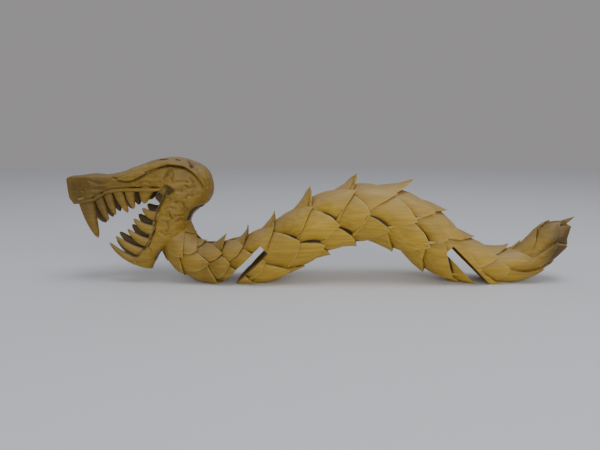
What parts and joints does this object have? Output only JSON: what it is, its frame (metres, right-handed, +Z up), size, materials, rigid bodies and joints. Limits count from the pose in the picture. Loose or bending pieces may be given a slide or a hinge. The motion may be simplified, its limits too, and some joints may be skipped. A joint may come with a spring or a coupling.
{
  "type": "carved wooden dragon sculpture",
  "caption": "Hand-carved pale wood dragon with a gaping, fanged head, an arched scaled trunk on flat feet and a raised tail.",
  "frame": {"origin": "on the surface that the carving stands on, midway between the snout and the tail tip", "axes": "+X from the snout towards the tail, +Y to the carving's own left side, away from the picture's camera, +Z up"},
  "size_m": [0.439, 0.0517, 0.1091],
  "materials": {
    "carved_wood": "bare pale wood, knife-cut, oiled"
  },
  "bodies": {
    "root": {"dragon_carving": "carved_wood"}
  },
  "joints": []
}
